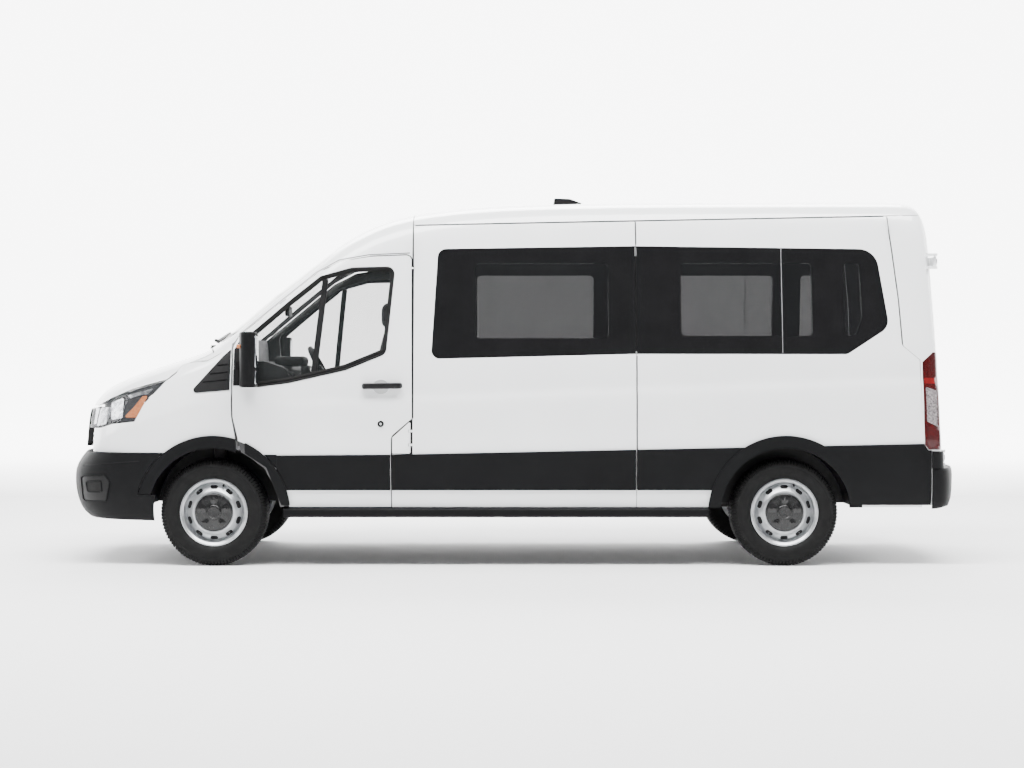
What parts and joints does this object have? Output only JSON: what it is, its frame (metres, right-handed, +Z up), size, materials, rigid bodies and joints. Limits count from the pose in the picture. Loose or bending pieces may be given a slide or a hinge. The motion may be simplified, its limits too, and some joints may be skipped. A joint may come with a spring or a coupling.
{
  "type": "minibus",
  "caption": "Long-wheelbase passenger minibus with a medium roof, dark side glazing, opening doors and hood, steered and rolling wheels.",
  "frame": {"origin": "on the ground, under the middle of the overall length, on the centre plane", "axes": "+X forward, +Y to the vehicle's left, +Z up"},
  "size_m": [5.9778, 2.4656, 2.4957],
  "materials": {
    "white_paint": "gloss white paint",
    "cab_glass": "clear",
    "privacy_glass": "dark tint",
    "lamp_glass": "clear lens",
    "lamp_red": "red lens",
    "charcoal_plastic": "grained",
    "black_plastic": "satin",
    "cabin_plastic": "grained",
    "seat_cloth": "woven",
    "floor_steel": "satin paint",
    "frame_steel": "black chassis paint",
    "cast_metal": "cast",
    "exhaust_steel": "dull",
    "rim_silver": "silver paint",
    "tyre_rubber": "worn"
  },
  "bodies": {
    "chassis": {"cab_frame": "white_paint", "windscreen": "cab_glass", "roof": "white_paint", "fenders": "white_paint", "headlamps": "lamp_glass", "grille": "black_plastic", "side_panel_left": "white_paint", "sliding_door": "white_paint", "quarter_panels": "white_paint", "side_glass": "privacy_glass", "rear_corners": "white_paint", "tail_lamps": "lamp_red", "antenna": "black_plastic", "bumper_front": "charcoal_plastic", "bumper_rear": "charcoal_plastic", "cladding": "charcoal_plastic", "running_boards": "charcoal_plastic", "floor": "floor_steel", "wheelhouses": "black_plastic", "firewall": "floor_steel", "inner_frame": "floor_steel", "front_panel": "black_plastic", "dashboard": "cabin_plastic", "steering_wheel": "cabin_plastic", "front_seats": "seat_cloth", "rear_seats": "seat_cloth", "chassis_rails": "frame_steel", "engine": "cast_metal", "driveline": "frame_steel", "exhaust": "exhaust_steel", "fuel_tank": "black_plastic", "front_suspension": "frame_steel", "rear_axle": "frame_steel"},
    "hood": {"hood": "white_paint"},
    "fuel_flap": {"fuel_flap": "white_paint"},
    "front_door_left": {"front_door_left": "white_paint", "front_door_glass_left": "cab_glass", "door_trim_left": "charcoal_plastic"},
    "rear_door_left": {"rear_door_left": "white_paint", "rear_glass_left": "privacy_glass"},
    "knuckle_left": {"knuckle_left": "frame_steel"},
    "wheel_front_left": {"rim_front_left": "rim_silver", "tyre_front_left": "tyre_rubber"},
    "wheel_rear_left": {"rim_rear_left": "rim_silver", "tyre_rear_left": "tyre_rubber"},
    "front_door_right": {"front_door_right": "white_paint", "front_door_glass_right": "cab_glass", "door_trim_right": "charcoal_plastic"},
    "rear_door_right": {"rear_door_right": "white_paint", "rear_glass_right": "privacy_glass"},
    "knuckle_right": {"knuckle_right": "frame_steel"},
    "wheel_front_right": {"rim_front_right": "rim_silver", "tyre_front_right": "tyre_rubber"},
    "wheel_rear_right": {"rim_rear_right": "rim_silver", "tyre_rear_right": "tyre_rubber"}
  },
  "joints": [
    {"name": "hood_hinge", "type": "hinge", "parent": "chassis", "child": "hood", "pos_m": [1.955, 0, 1.445], "axis": [0, -1, 0], "range_deg": [0, 55]},
    {"name": "fuel_flap_hinge", "type": "hinge", "parent": "chassis", "child": "fuel_flap", "pos_m": [0.673, 1.001, 0.85], "axis": [0, 0, 1], "range_deg": [0, 90]},
    {"name": "front_door_left_hinge", "type": "hinge", "parent": "chassis", "child": "front_door_left", "pos_m": [1.788, 1.001, 1], "axis": [0, 0, -1], "range_deg": [0, 70]},
    {"name": "rear_door_left_hinge", "type": "hinge", "parent": "chassis", "child": "rear_door_left", "pos_m": [-2.8234, 0.884, 1.3], "axis": [-0.04, 0, -0.9992], "range_deg": [0, 180]},
    {"name": "steering_left", "type": "hinge", "parent": "chassis", "child": "knuckle_left", "pos_m": [1.96, 0.77, 0.351], "axis": [0, 0, 1], "range_deg": [-35, 35]},
    {"name": "wheel_front_left_spin", "type": "hinge", "parent": "knuckle_left", "child": "wheel_front_left", "pos_m": [1.96, 0.866, 0.351], "axis": [0, 1, 0], "continuous": true},
    {"name": "wheel_rear_left_spin", "type": "hinge", "parent": "chassis", "child": "wheel_rear_left", "pos_m": [-1.79, 0.866, 0.351], "axis": [0, 1, 0], "continuous": true},
    {"name": "front_door_right_hinge", "type": "hinge", "parent": "chassis", "child": "front_door_right", "pos_m": [1.788, -1.001, 1], "axis": [0, 0, 1], "range_deg": [0, 70]},
    {"name": "rear_door_right_hinge", "type": "hinge", "parent": "chassis", "child": "rear_door_right", "pos_m": [-2.8234, -0.884, 1.3], "axis": [0.04, 0, 0.9992], "range_deg": [0, 180]},
    {"name": "steering_right", "type": "hinge", "parent": "chassis", "child": "knuckle_right", "pos_m": [1.96, -0.77, 0.351], "axis": [0, 0, 1], "range_deg": [-35, 35]},
    {"name": "wheel_front_right_spin", "type": "hinge", "parent": "knuckle_right", "child": "wheel_front_right", "pos_m": [1.96, -0.866, 0.351], "axis": [0, 1, 0], "continuous": true},
    {"name": "wheel_rear_right_spin", "type": "hinge", "parent": "chassis", "child": "wheel_rear_right", "pos_m": [-1.79, -0.866, 0.351], "axis": [0, 1, 0], "continuous": true}
  ],
  "couplings": [
    {"joint": "steering_right", "follows": "steering_left", "ratio": 1}
  ]
}
